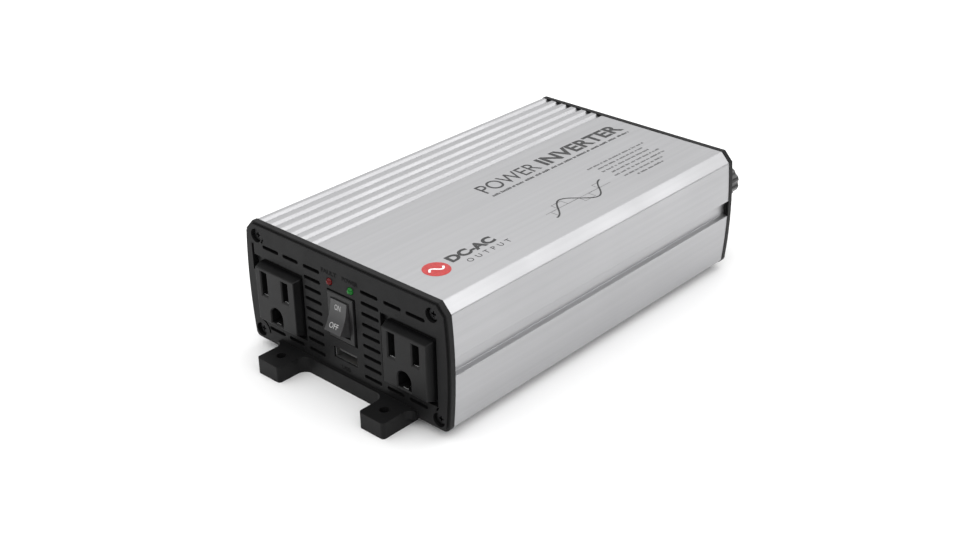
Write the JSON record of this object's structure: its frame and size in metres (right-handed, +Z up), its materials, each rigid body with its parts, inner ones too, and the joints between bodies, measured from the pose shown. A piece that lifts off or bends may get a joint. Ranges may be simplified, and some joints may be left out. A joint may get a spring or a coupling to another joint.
{
  "type": "power inverter",
  "caption": "Compact DC to AC power inverter: finned aluminium tube, black end plates with mounting feet, outlets, USB socket, rocker switch, fan and binding posts.",
  "frame": {"origin": "on the ground plane, midway between the four foot holes", "axes": "+Z up; the outlet end faces -Y and the fan and binding posts face +Y; +X is to the right as seen from the outlet end"},
  "size_m": [0.1142, 0.2199, 0.0578],
  "materials": {
    "anodised_aluminium": "satin clear anodised, fine lengthwise extrusion lines",
    "panel_plastic": "black moulded plastic, fine satin texture",
    "outlet_plastic": "black moulded thermoplastic",
    "inner_plastic": "dark moulded plastic",
    "switch_plastic": "black nylon",
    "rocker_plastic": "dark grey satin nylon",
    "black_screw": "black oxide steel",
    "brass": "bright stamped brass",
    "plated_steel": "nickel plated",
    "usb_insulator": "dark moulded insulator",
    "circuit_board": "green solder mask",
    "red_lens": "clear red epoxy",
    "green_lens": "clear green epoxy",
    "fan_plastic": "black glass-filled plastic",
    "red_plastic": "red moulded plastic",
    "post_black_plastic": "black moulded plastic",
    "red_insulation": "PVC insulation",
    "black_insulation": "PVC insulation",
    "insulating_film": "fish paper",
    "white_nylon": "natural nylon",
    "ferrite": "sintered ferrite",
    "copper": "enamelled copper",
    "capacitor_sleeve": "shrink sleeve",
    "silicone_pad": "grey silicone",
    "fuse_plastic": "translucent orange"
  },
  "bodies": {
    "body": {"extruded_housing": "anodised_aluminium", "front_panel": "panel_plastic", "rear_panel": "panel_plastic", "front_screws": "black_screw", "rear_screws": "black_screw", "fan_screws": "black_screw", "outlet_left": "outlet_plastic", "outlet_right": "outlet_plastic", "outlet_left_cap": "inner_plastic", "outlet_right_cap": "inner_plastic", "outlet_left_contacts": "plated_steel", "outlet_right_contacts": "plated_steel", "switch_body": "switch_plastic", "switch_terminals": "brass", "usb_shell": "plated_steel", "usb_tongue": "usb_insulator", "usb_contacts": "brass", "usb_board": "circuit_board", "fault_led": "red_lens", "power_led": "green_lens", "led_board": "circuit_board", "led_leads": "plated_steel", "fan_frame": "fan_plastic", "post_base_positive": "red_plastic", "post_base_negative": "post_black_plastic", "post_stud_positive": "brass", "post_stud_negative": "brass", "post_inner_washers": "inner_plastic", "post_nuts": "plated_steel", "ring_lug_positive": "plated_steel", "ring_lug_negative": "plated_steel", "dc_cable_positive": "red_insulation", "dc_cable_negative": "black_insulation", "dc_terminals": "plated_steel", "main_board": "circuit_board", "insulation_sheet": "insulating_film", "board_standoffs": "white_nylon", "transformer_core": "ferrite", "transformer_bobbin": "white_nylon", "transformer_winding": "copper", "choke_core": "ferrite", "choke_winding": "copper", "input_capacitors": "capacitor_sleeve", "output_capacitor": "capacitor_sleeve", "thermal_pads": "silicone_pad", "transistors": "inner_plastic", "clamp_bars": "plated_steel", "blade_fuses": "fuse_plastic", "control_board": "circuit_board", "control_chips": "inner_plastic", "ac_wires": "black_insulation", "switch_wires": "red_insulation"},
    "rocker": {"switch_rocker": "rocker_plastic"},
    "rotor": {"fan_rotor": "fan_plastic"},
    "positive_washer": {"post_washer_positive": "plated_steel"},
    "positive_knob": {"post_knob_positive": "red_plastic"},
    "negative_washer": {"post_washer_negative": "plated_steel"},
    "negative_knob": {"post_knob_negative": "post_black_plastic"}
  },
  "joints": [
    {"name": "rocker_tilt", "type": "hinge", "parent": "body", "child": "rocker", "pos_m": [-0.0001, -0.0911, 0.03245], "axis": [1, 0, 0], "range_deg": [0, 39]},
    {"name": "fan_spin", "type": "hinge", "parent": "body", "child": "rotor", "pos_m": [0, 0.084, 0.033], "axis": [0, 1, 0], "continuous": true},
    {"name": "positive_washer_travel", "type": "slide", "parent": "body", "child": "positive_washer", "axis": [0, 1, 0], "range_m": [0, 0.005]},
    {"name": "positive_knob_turn", "type": "hinge", "parent": "positive_washer", "child": "positive_knob", "pos_m": [-0.0413, 0.1, 0.034], "axis": [0, 1, 0], "range_deg": [0, 1800]},
    {"name": "negative_washer_travel", "type": "slide", "parent": "body", "child": "negative_washer", "axis": [0, 1, 0], "range_m": [0, 0.005]},
    {"name": "negative_knob_turn", "type": "hinge", "parent": "negative_washer", "child": "negative_knob", "pos_m": [0.0413, 0.1, 0.034], "axis": [0, 1, 0], "range_deg": [0, 1800]}
  ],
  "couplings": [
    {"joint": "positive_knob_turn", "follows": "positive_washer_travel", "rad_per_m": 6283.2},
    {"joint": "negative_knob_turn", "follows": "negative_washer_travel", "rad_per_m": 6283.2}
  ]
}
